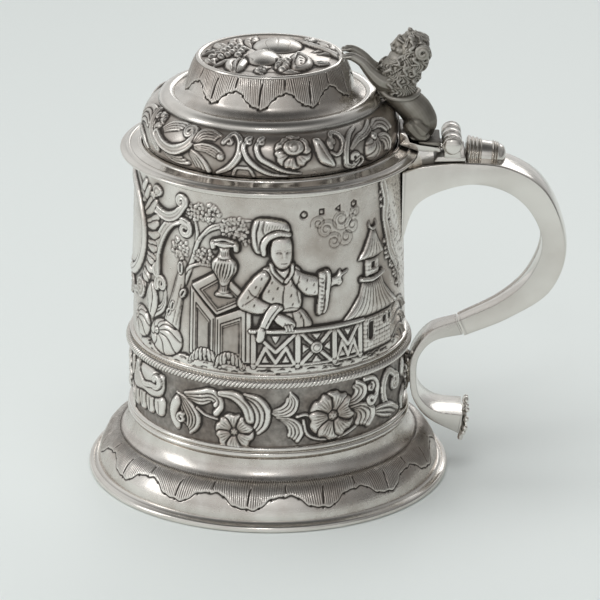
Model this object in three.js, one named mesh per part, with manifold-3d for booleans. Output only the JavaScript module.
// A lidded silver tankard: a tapered drum on a spread foot, a hollow scroll handle, and a stepped lid
// that turns on a three-knuckle hinge and carries a lion thumbpiece. Millimetres, +Z up. The drum's
// axis runs along Z, the handle lies towards +X, and the foot stands on Z = 0.
import * as THREE from 'three';
import { mergeVertices } from 'three/addons/utils/BufferGeometryUtils.js';
import Module from 'manifold-3d';

const wasm = await Module();
wasm.setup();

// ---- driving dimensions ----
const FOOT_R = 75; // the widest radius of the foot's rim
const FOOT_TOP_Z = 25; // where the skirt meets the base moulding
const DRUM_TOP_Z = 138.2; // the mouth
const DRUM_TOP_R = 54;
const DRUM_BASE_R = 56.4;
const DRUM_FLOOR_Z = 26.5;
const GIRDLE_Z = 56.2; // centre of the rope wire
const SHEET = 1.2; // thickness of the raised silver sheet
const GAP = 0.3; // solder gap between neighbouring pieces

const FLANGE_R = 60.9; // the lid's widest radius
const FLANGE_Z = DRUM_TOP_Z + GAP; // underside of the flange
const LID_TOP_Z = 178; // top of the flat part of the lid
const LID_TOP_R = 29.6;

const HINGE_X = 74;
const HINGE_Z = 143;
const KNUCKLE_R = 4.1;
const KNUCKLE_LENGTH = 6.8;
const KNUCKLE_PITCH = 7.1;
const PIN_R = 1.5;
const BORE_R = 1.7;

const HANDLE_REACH = 122.2; // the farthest point of the handle from the drum's axis
const HANDLE_CROWN = 1; // how far the handle's back is domed
const ROUND_STEPS = 40; // facets around the drum's axis

// The origin is under the middle of the whole outline, so the drum's axis stands a little to one side.
const AXIS_X = (FOOT_R - HANDLE_REACH) / 2;

// ---- materials ----
function silver(shade, roughness) {
  const color = new THREE.Color(shade, shade * 0.98, shade * 0.94);
  return () => new THREE.MeshStandardMaterial({ color, roughness, metalness: 1 });
}
const polished = silver(0.83, 0.2);
const chased = silver(0.7, 0.34);
const cast = silver(0.6, 0.4);

// ---- geometry helpers ----

// Returns the geometry with only its merged corner points, and with its faces pointing out.
function closed(geometry) {
  geometry.deleteAttribute('normal');
  geometry.deleteAttribute('uv');
  const merged = mergeVertices(geometry, 1e-4);
  const position = merged.getAttribute('position');
  const corners = merged.index.array;
  const kept = [];
  let volume = 0;
  const [a, b, c] = [new THREE.Vector3(), new THREE.Vector3(), new THREE.Vector3()];
  for (let i = 0; i < corners.length; i += 3) {
    const [ia, ib, ic] = corners.slice(i, i + 3);
    if (ia === ib || ib === ic || ia === ic) continue;
    kept.push(ia, ib, ic);
    a.fromBufferAttribute(position, ia);
    b.fromBufferAttribute(position, ib);
    c.fromBufferAttribute(position, ic);
    volume += a.dot(b.cross(c));
  }
  if (volume < 0) kept.reverse();
  merged.setIndex(kept);
  return merged;
}

const toSolid = (geometry) => {
  const whole = closed(geometry);
  return new wasm.Manifold(
    new wasm.Mesh({
      numProp: 3,
      vertProperties: new Float32Array(whole.getAttribute('position').array),
      triVerts: new Uint32Array(whole.index.array),
    }),
  );
};

const toGeometry = (solid) => {
  const mesh = solid.getMesh();
  const geometry = new THREE.BufferGeometry();
  geometry.setAttribute('position', new THREE.BufferAttribute(mesh.vertProperties, 3));
  geometry.setIndex(new THREE.BufferAttribute(mesh.triVerts, 1));
  return geometry;
};

const toVectors = (pairs) => pairs.map(([x, y]) => new THREE.Vector2(x, y));

const joined = (solids) => solids.reduce((whole, next) => whole.add(next));

// Points of a profile given as [radius, height] corners. An entry of four numbers is a curve: its
// control point first, then its end.
function profile(entries, curveSteps = 2) {
  const path = new THREE.Path();
  path.moveTo(...entries[0]);
  for (const entry of entries.slice(1)) {
    if (entry.length === 4) path.quadraticCurveTo(...entry);
    else path.lineTo(...entry);
  }
  return path.getPoints(curveSteps);
}

// The same line moved sideways: to the right of its direction when the distance is positive.
function offset(points, distance) {
  return points.map((point, i) => {
    const before = points[Math.max(i - 1, 0)];
    const after = points[Math.min(i + 1, points.length - 1)];
    const along = after.clone().sub(before).normalize();
    return new THREE.Vector2(point.x + along.y * distance, point.y - along.x * distance);
  });
}

// A solid of revolution about Z. The outline closes on itself, or starts and ends on the axis.
function turned(points) {
  const onAxis = points[0].x === 0 && points[points.length - 1].x === 0;
  const outline = onAxis ? points : [...points, points[0].clone()];
  return closed(new THREE.LatheGeometry(outline, ROUND_STEPS).rotateX(Math.PI / 2));
}

// A spun sheet: the outer line, and the same line inside it by the sheet's thickness.
function spun(outer, thickness = SHEET) {
  return turned([...outer, ...offset(outer, -thickness).reverse()]);
}

// The rectangular section of a plain ring or disc.
function ringOutline(innerR, outerR, lowZ, highZ) {
  return profile([[innerR, lowZ], [outerR, lowZ], [outerR, highZ], [innerR, highZ]]);
}

// A skin through matching contours, closed at both ends. place(i, point) puts a contour's point in space.
function loft(contours, place) {
  const count = contours[0].length;
  const corners = contours.flatMap((contour, i) => contour.flatMap((point) => place(i, point).toArray()));
  const faces = [];
  for (let i = 0; i + 1 < contours.length; i += 1) {
    for (let j = 0; j < count; j += 1) {
      const [near, far] = [i * count + j, i * count + ((j + 1) % count)];
      faces.push(near, far, near + count, far, far + count, near + count);
    }
  }
  const last = (contours.length - 1) * count;
  for (const [p, q, r] of THREE.ShapeUtils.triangulateShape(contours[0], [])) {
    faces.push(r, q, p, last + p, last + q, last + r);
  }
  const geometry = new THREE.BufferGeometry();
  geometry.setAttribute('position', new THREE.Float32BufferAttribute(corners, 3));
  geometry.setIndex(faces);
  return closed(geometry);
}

// A flat outline in the XZ plane, thickened along Y from low to high.
function slab(outline, low, high) {
  const shape = new THREE.Shape(toVectors(outline));
  return new THREE.ExtrudeGeometry(shape, { depth: high - low, bevelEnabled: false })
    .rotateX(Math.PI / 2)
    .translate(0, high, 0);
}

// A round bar along Y.
function bar(radius, x, z, low, high, steps = 20) {
  return new THREE.CylinderGeometry(radius, radius, high - low, steps).translate(x, (low + high) / 2, z);
}

// Smooth curve through [x, z, half width] stations.
function along(stations, steps) {
  const points = stations.map((station) => new THREE.Vector3(...station));
  return new THREE.CatmullRomCurve3(points, false, 'centripetal').getPoints(steps);
}

// ---- the assembly ----
const tankard = new THREE.Group();
tankard.position.x = AXIS_X;

function part(name, geometry, material) {
  const mesh = new THREE.Mesh(geometry, material());
  mesh.name = name;
  tankard.add(mesh);
}

// ---- vessel: drum, floor, wires and foot ----
const DRUM_FOOT_Z = FOOT_TOP_Z + GAP;
const drumLine = profile([[DRUM_BASE_R, DRUM_FOOT_Z], [DRUM_BASE_R, GIRDLE_Z], [DRUM_TOP_R, DRUM_TOP_Z]]);
part('drum', spun(drumLine), chased);

const FLOOR_R = DRUM_BASE_R - SHEET - 0.1;
part('drum_floor', turned(ringOutline(0, FLOOR_R, DRUM_FLOOR_Z, DRUM_FLOOR_Z + SHEET)), polished);

// A wire bedded on the drum: flat at the back, rounded in front.
function beddedWire(backR, frontR, lowZ, highZ) {
  const middle = (lowZ + highZ) / 2;
  return turned(profile([[backR, lowZ], [frontR, lowZ, frontR, middle], [frontR, highZ, backR, highZ]]));
}

const MOUTH_WIRE_R = DRUM_TOP_R + 1.4;
const MOUTH_WIRE_Z = DRUM_TOP_Z - 3;
part('mouth_wire', beddedWire(DRUM_TOP_R + 0.15, MOUTH_WIRE_R, MOUTH_WIRE_Z, DRUM_TOP_Z - 0.1), polished);

const BED_R = DRUM_BASE_R + 0.1;
part('girdle_moulding', beddedWire(BED_R, DRUM_BASE_R + 1.4, GIRDLE_Z + 1.9, GIRDLE_Z + 5.4), polished);
part('rope_girdle', beddedWire(BED_R, DRUM_BASE_R + 2.4, GIRDLE_Z - 1.6, GIRDLE_Z + 1.6), polished);

const MOULD_R = DRUM_BASE_R + 2.2;
part(
  'base_moulding',
  turned(profile([
    [BED_R, DRUM_FOOT_Z],
    [MOULD_R, DRUM_FOOT_Z, MOULD_R, FOOT_TOP_Z + 1.8],
    [MOULD_R, FOOT_TOP_Z + 2.8, MOULD_R - 1, FOOT_TOP_Z + 3.2],
    [MOULD_R, FOOT_TOP_Z + 3.6, MOULD_R - 0.4, FOOT_TOP_Z + 4.6],
    [MOULD_R - 0.6, FOOT_TOP_Z + 5.4, BED_R, FOOT_TOP_Z + 5.4],
  ])),
  polished,
);

const FOOT_STEP_R = 71;
const footLine = profile([
  [FOOT_STEP_R, 3.6],
  [70.6, 12, 66, 15.2],
  [63, 17.2, 60.6, 17.4],
  [58, 18.6, 57.6, FOOT_TOP_Z - 0.1],
], 3);
part('foot', spun(footLine), chased);

part(
  'foot_rim',
  turned(profile([
    [FOOT_STEP_R - 2, 0],
    [FOOT_R - 0.5, 0],
    [FOOT_R + 0.1, 0.4, FOOT_R, 1.3],
    [FOOT_R, 3, FOOT_R - 2, 3.2],
    [FOOT_STEP_R + 0.4, 3.3],
    [FOOT_STEP_R + 0.4, 2.4],
    [FOOT_STEP_R - 2, 2.4],
  ])),
  polished,
);

// ---- lid ----
const lidLine = profile([
  [FLANGE_R - 9.6, FLANGE_Z + 4.4],
  [53.4, 148, 51.7, 153],
  [50, 158.4, 45.8, 159.4],
  [39.2, 161.5],
  [35.4, 163, 34.3, 166.2],
  [31.5, 174],
  [LID_TOP_R, LID_TOP_Z - 1.8],
  [0, LID_TOP_Z - 1.8],
], 3);
part('lid_dome', spun(lidLine), chased);

part(
  'lid_top_wire',
  turned(profile([
    [LID_TOP_R - 1.9, LID_TOP_Z - 1.5],
    [LID_TOP_R, LID_TOP_Z - 1.5],
    [LID_TOP_R + 0.1, LID_TOP_Z, LID_TOP_R - 0.9, LID_TOP_Z],
    [LID_TOP_R - 1.9, LID_TOP_Z],
  ])),
  polished,
);

const MEDALLION_R = LID_TOP_R - 2.2;
part(
  'lid_medallion',
  turned(profile([
    [0, LID_TOP_Z - 1.5],
    [MEDALLION_R, LID_TOP_Z - 1.5],
    [MEDALLION_R, LID_TOP_Z - 0.6],
    [MEDALLION_R * 0.8, LID_TOP_Z + 3.2, 0, LID_TOP_Z + 3.4],
  ], 4)),
  chased,
);

const shoulder = profile([[45.3, 160.1], [44.6, 162.8, 42, 163.2], [39.8, 163.6, 39.4, 161.9]], 4);
part('lid_shoulder_wire', turned(shoulder), polished);

const flangeLine = profile([
  [FLANGE_R, FLANGE_Z],
  [FLANGE_R, FLANGE_Z + 1.1],
  [FLANGE_R - 3.2, FLANGE_Z + 2.5],
  [FLANGE_R - 4.4, FLANGE_Z + 3.2],
  [FLANGE_R - 7.5, FLANGE_Z + 4.1],
  [FLANGE_R - 8.9, FLANGE_Z + 4.1],
]);
part('lid_flange', turned([...flangeLine, new THREE.Vector2(FLANGE_R - 8.9, FLANGE_Z)]), polished);

const BEZEL_R = DRUM_TOP_R - SHEET - 1.1;
part('lid_bezel', turned(ringOutline(BEZEL_R - SHEET, BEZEL_R, FLANGE_Z - 5, FLANGE_Z + 4)), polished);

// The space that the lid fills, with the solder gap around it, for cutting what is seated on it.
const lidSpace = joined([
  toSolid(turned([new THREE.Vector2(0, FLANGE_Z), ...offset([...flangeLine, ...lidLine.slice(1)], GAP)])),
  toSolid(turned(ringOutline(0, LID_TOP_R + GAP, LID_TOP_Z - 4, LID_TOP_Z + GAP))),
  toSolid(turned(shoulder.map((point) => new THREE.Vector2(point.x, point.y + GAP)))),
]);

// ---- handle ----
// Stations along the handle: the outer and inner line in the XZ plane, with the half width.
const HANDLE_STEPS = 32;
const handleOuter = along([
  [54, 132.6, 10.5], [63, 135.4, 10.5], [80, 136.4, 10.3], [99, 133.6, 9.6], [114.5, 122.2, 8.8],
  [HANDLE_REACH, 99, 8], [116.5, 79, 7.2], [99.7, 66.3, 6.2], [81.3, 57.8, 5.2],
], HANDLE_STEPS);
const handleInner = along([
  [54, 101, 10.5], [60.5, 118.2, 10.5], [79, 126.2, 10.3], [95, 123.8, 9.6], [106.5, 114.2, 8.8],
  [111.6, 99.6, 8], [106.3, 84.8, 7.2], [95, 74, 6.2], [78, 65.2, 5.2],
], HANDLE_STEPS);

// Runs a contour along two guiding lines. contour(width, depth) gives its points: x across the
// handle, y from the inner line (0) to the outer line (depth).
function swept(inner, outer, contour) {
  const depths = inner.map((point, i) => Math.hypot(outer[i].x - point.x, outer[i].y - point.y));
  const contours = inner.map((point, i) => toVectors(contour(point.z, depths[i])));
  return loft(contours, (i, point) => {
    const share = point.y / depths[i];
    return new THREE.Vector3(
      THREE.MathUtils.lerp(inner[i].x, outer[i].x, share),
      point.x,
      THREE.MathUtils.lerp(inner[i].y, outer[i].y, share),
    );
  });
}

const crownedBack = (width, depth) => [
  [width, depth - HANDLE_CROWN],
  [width * 0.6, depth - HANDLE_CROWN * 0.3],
  [0, depth],
  [-width * 0.6, depth - HANDLE_CROWN * 0.3],
  [-width, depth - HANDLE_CROWN],
];

const shellContour = (width, depth) => [
  [width - SHEET, 0],
  [width, 0],
  ...crownedBack(width, depth),
  [-width, 0],
  [SHEET - width, 0],
  [SHEET - width, depth - HANDLE_CROWN - SHEET],
  [width - SHEET, depth - HANDLE_CROWN - SHEET],
];

const strapContour = (width) => {
  const half = width - SHEET - 0.1;
  return [[-half, 0.1], [half, 0.1], [half, SHEET], [-half, SHEET]];
};

// The space that the drum and its mouth wire fill, with the solder gap around it.
const drumSpace = joined([
  toSolid(turned([
    new THREE.Vector2(0, FOOT_TOP_Z),
    ...offset(drumLine, GAP),
    new THREE.Vector2(0, DRUM_TOP_Z + GAP),
  ])),
  toSolid(turned(ringOutline(0, MOUTH_WIRE_R + GAP, MOUTH_WIRE_Z - GAP, FLANGE_Z))),
]);
const offDrum = (geometry) => toGeometry(toSolid(geometry).subtract(drumSpace));

part('handle_shell', offDrum(swept(handleInner, handleOuter, shellContour)), polished);
part('handle_strap', offDrum(swept(handleInner, handleOuter, strapContour)), polished);

// The lower scroll: from inside the handle's end, down the drum, and out to the shield.
const SCROLL_STEPS = 20;
const scrollOuter = along([
  [80.3, 59, 4.6], [68.5, 56.6, 5.8], [62.4, 50.3, 7.5], [61.2, 42, 8.5],
  [62.8, 33, 9.3], [69.5, 27, 10], [80.6, 25.3, 10.5],
], SCROLL_STEPS);
const scrollInner = along([
  [77.7, 64.9, 4.6], [66.5, 60.6, 5.8], [59.4, 50.5, 7.5], [58.4, 41, 8.5],
  [60.2, 31.5, 9.3], [66.5, 23.5, 10], [79.2, 17, 10.5],
], SCROLL_STEPS);
const plainContour = (width, depth) => [[-width, 0], [width, 0], [width, depth], [-width, depth]];
part('scroll_strap', swept(scrollInner, scrollOuter, plainContour), polished);

part('scroll_seat', offDrum(new THREE.BoxGeometry(3, 11, 13).translate(56.6, 0, 43)), polished);

// A shield with a scalloped edge and a pointed foot, standing across the scroll's end. Its right
// half is listed from foot to top, and the left half mirrors it.
function shieldShape(width, height) {
  const half = [
    [0.2, -0.32], [0.42, -0.16], [0.54, 0.04], [0.48, 0.2], [0.46, 0.36], [0.3, 0.4], [0.16, 0.33],
  ];
  const mirrored = half.map(([x, y]) => [-x, y]).reverse();
  const outline = [[0, -0.6], ...half, [0, 0.36], ...mirrored];
  return new THREE.Shape(toVectors(outline.map(([x, y]) => [x * width, y * height])));
}

const SHIELD_TILT = 0.15; // leans out at the top
part(
  'scroll_shield',
  new THREE.ExtrudeGeometry(shieldShape(25, 19), { depth: 1.5, bevelEnabled: false })
    .rotateX(Math.PI / 2)
    .rotateZ(Math.PI / 2)
    .rotateY(SHIELD_TILT)
    .translate(80.6, 0, 22),
  polished,
);

// ---- hinge ----
const KNUCKLE_EDGE = KNUCKLE_LENGTH / 2;
const knuckle = (middle) =>
  toSolid(bar(KNUCKLE_R, HINGE_X, HINGE_Z, middle - KNUCKLE_EDGE, middle + KNUCKLE_EDGE));
const bore = toSolid(bar(BORE_R, HINGE_X, HINGE_Z, -20, 20));
const LUG_TOP_Z = HINGE_Z - KNUCKLE_R - 0.6;

const lugPieces = [toSolid(slab([[68, 137], [79.4, 137], [79.4, LUG_TOP_Z], [68, LUG_TOP_Z]], -10.2, 10.2))];
for (const middle of [-KNUCKLE_PITCH, KNUCKLE_PITCH]) {
  const [webLeft, webRight, webFoot] = [HINGE_X - 3.4, HINGE_X + 3.4, LUG_TOP_Z - 0.5];
  const web = [[webLeft, webFoot], [webRight, webFoot], [webRight, HINGE_Z], [webLeft, HINGE_Z]];
  lugPieces.push(knuckle(middle), toSolid(slab(web, middle - KNUCKLE_EDGE, middle + KNUCKLE_EDGE)));
}
part('hinge_lug', toGeometry(joined(lugPieces).subtract(bore)), polished);

const leafOutline = [
  [50, 142], [60, 140.2], [69.3, 139.7], [69.3, 141.8],
  [61, 142.8], [56.6, 144.2], [54.8, 148.4], [50, 148.4],
];
const tongueOutline = [[68.5, 139.8], [HINGE_X, 139.6], [HINGE_X, 142.2], [68.5, 141.6]];
part(
  'lid_hinge_leaf',
  toGeometry(
    joined([
      toSolid(slab(leafOutline, -9, 9)),
      toSolid(slab(tongueOutline, -KNUCKLE_EDGE + 0.1, KNUCKLE_EDGE - 0.1)),
      knuckle(0),
    ]).subtract(bore).subtract(lidSpace),
  ),
  polished,
);

const PIN_END = KNUCKLE_PITCH + KNUCKLE_EDGE;
part('hinge_pin', bar(PIN_R, HINGE_X, HINGE_Z, -PIN_END, PIN_END), polished);

// A low dome on each end of the pin.
const CAP_R = 3.2;
function pinCap(side) {
  const lens = toSolid(new THREE.SphereGeometry(CAP_R, 16, 8).scale(1, 0.45, 1));
  const innerHalf = toSolid(new THREE.BoxGeometry(8, 8, 8).translate(0, -4 * side, 0));
  return toGeometry(lens.subtract(innerHalf)).translate(HINGE_X, side * (PIN_END + 0.05), HINGE_Z);
}
part('pin_cap_front', pinCap(-1), polished);
part('pin_cap_back', pinCap(1), polished);

// ---- ribbed drop on the handle's back ----
const dropLine = profile([
  [0, 0], [7.6, 0], [8.6, 0.8], [7.6, 1.7], [8.4, 2.6], [7.4, 3.5], [8, 4.4], [7, 5.2],
  [6.6, 10.5], [7.4, 11.4], [6.4, 12.2], [6.8, 13.1], [4, 15.4, 0, 16.6],
], 4);
const dropTurned = new THREE.LatheGeometry(dropLine, 20)
  .rotateZ(-Math.PI / 2)
  .scale(1, 1, 0.78)
  .rotateY(0.1)
  .translate(HINGE_X + 5.8, 0, 137.4);
const handleBack = [[70, 120], [104, 120], [104, 134.6], [90, 136.6], [80, 137], [70, 137]];
const underDrop = toSolid(slab(handleBack, -12, 12));
part('handle_drop', toGeometry(toSolid(dropTurned).subtract(underDrop)), polished);

// ---- lion thumbpiece ----
function blob(x, y, z, rx, ry, rz, lean = 0) {
  return toSolid(new THREE.SphereGeometry(1, 12, 8).scale(rx, ry, rz).rotateY(lean).translate(x, y, z));
}

// A limb through [x, y, z] points, rounded by a capsule between each two.
function limb(points, radius) {
  const up = new THREE.Vector3(0, 1, 0);
  return joined(points.slice(1).map((end, i) => {
    const from = new THREE.Vector3(...points[i]);
    const to = new THREE.Vector3(...end);
    const turn = new THREE.Quaternion().setFromUnitVectors(up, to.clone().sub(from).normalize());
    const middle = from.clone().add(to).multiplyScalar(0.5);
    const capsule = new THREE.CapsuleGeometry(radius, from.distanceTo(to), 3, 8);
    return toSolid(capsule.applyQuaternion(turn).translate(middle.x, middle.y, middle.z));
  }));
}

const lionPieces = [
  blob(63, 0, 152, 7, 7.4, 9.5, -0.25), // rump
  blob(59.5, 0, 161, 6.6, 6.6, 8, -0.5), // waist
  blob(53, 0, 170.5, 9.2, 8.6, 8.6, -0.5), // maned chest
  blob(58.2, 0, 180, 7.9, 8, 7.6), // maned head
  blob(51.6, 0, 179.6, 3.4, 3.6, 3.2), // muzzle
];
for (const side of [-1, 1]) {
  lionPieces.push(
    blob(63, side * 5.6, 148.6, 5.6, 3.6, 5.4), // thigh
    limb([[61, side * 6, 146.4], [63.6, side * 6, 144.6]], 2.2),
    limb([[48, side * 5, 168.6], [42, side * 5, 174], [36, side * 5, 178.8], [32.4, side * 5, 178.8]], 2.2),
  );
}
const PLINTH_TOP_Z = 143.9;
const STANCE_Z = PLINTH_TOP_Z + GAP;
const belowPlinth = toSolid(slab([[40, 120], [80, 120], [80, STANCE_Z], [40, STANCE_Z]], -20, 20));
part('lion', toGeometry(joined(lionPieces).subtract(lidSpace).subtract(belowPlinth)), cast);

// The plinth fills the wedge between the sloping leaf and the level that the lion stands on.
const plinthOutline = [[61, 143.1], [69.2, 142.1], [69.2, PLINTH_TOP_Z], [60.1, PLINTH_TOP_Z]];
part('lion_plinth', slab(plinthOutline, -8.4, 8.4), cast);

export default tankard;
